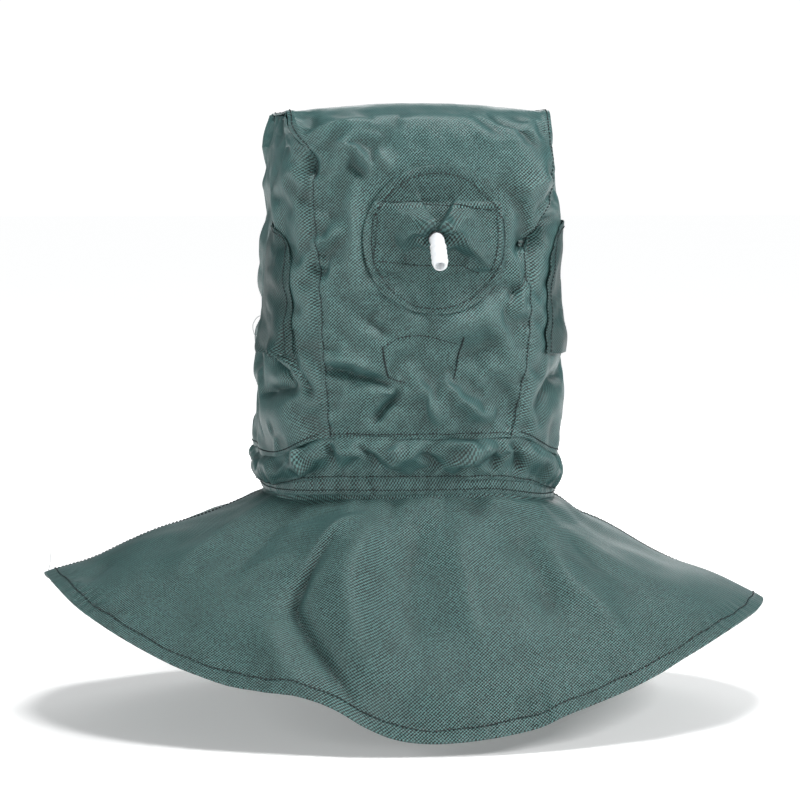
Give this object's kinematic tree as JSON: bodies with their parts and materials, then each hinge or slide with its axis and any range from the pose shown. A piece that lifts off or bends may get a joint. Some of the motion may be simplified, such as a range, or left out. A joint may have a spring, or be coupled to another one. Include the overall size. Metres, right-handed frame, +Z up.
{
  "type": "air-fed blasting hood with shoulder cape",
  "caption": "Sewn canvas protective hood with a flared shoulder cape, flip-up front window, rear barbed air inlet and an inner head harness.",
  "frame": {"origin": "where the two crown straps cross on top of the wearer's head, which carries the hood", "axes": "+Z up, +Y the way the wearer faces, +X the wearer's right-hand side"},
  "size_m": [0.6442, 0.4708, 0.5296],
  "materials": {
    "canvas": "dark green-grey twill canvas, matt with a faint coated sheen",
    "webbing": "black woven webbing",
    "elastic": "white woven elastic tape",
    "foam": "dark closed-cell foam",
    "frame_plastic": "black moulded plastic, fine matt texture",
    "rubber": "black rubber",
    "lens": "clear sheet lens",
    "steel": "plated steel",
    "white_plastic": "white moulded plastic"
  },
  "bodies": {
    "hood": {"back_and_crown_panel": "canvas", "back_patch": "canvas", "brow_pad": "foam", "cross_strap": "webbing", "front_panel": "canvas", "headband": "webbing", "hinge_pin": "steel", "inlet_stiffener": "frame_plastic", "inlet_washer": "rubber", "left_ear_patch": "canvas", "left_side_panel": "canvas", "left_side_tab": "webbing", "lengthways_strap": "webbing", "nape_anchor": "canvas", "nape_strap": "webbing", "neck_band": "canvas", "neck_casing": "canvas", "neck_elastic": "elastic", "right_ear_patch": "canvas", "right_side_panel": "canvas", "right_side_tab": "webbing", "shoulder_cape": "canvas", "window_clamp_ring": "frame_plastic", "window_frame": "frame_plastic", "window_gasket": "rubber", "window_surround": "canvas", "window_screw_1": "steel", "window_screw_2": "steel", "window_screw_3": "steel", "window_screw_4": "steel", "window_screw_5": "steel", "window_screw_6": "steel", "window_nut_1": "steel", "window_nut_2": "steel", "window_nut_3": "steel", "window_nut_4": "steel", "window_nut_5": "steel", "window_nut_6": "steel"},
    "window_door": {"window_door_frame": "frame_plastic", "window_lens": "lens", "lens_retainer": "frame_plastic"},
    "air_inlet": {"air_inlet_elbow": "white_plastic", "inlet_lock_nut": "white_plastic"},
    "slider": {"strap_slider": "frame_plastic"}
  },
  "joints": [
    {"name": "window_hinge", "type": "hinge", "parent": "hood", "child": "window_door", "pos_m": [0, 0.1445, -0.054], "axis": [1, 0, 0], "range_deg": [0, 105]},
    {"name": "inlet_swivel", "type": "hinge", "parent": "hood", "child": "air_inlet", "pos_m": [0.0095, -0.13, -0.0765], "axis": [0, 1, 0], "continuous": true},
    {"name": "slider_travel", "type": "slide", "parent": "hood", "child": "slider", "axis": [0, 0.1895, 0.9819], "range_m": [-0.014, 0.014]}
  ]
}
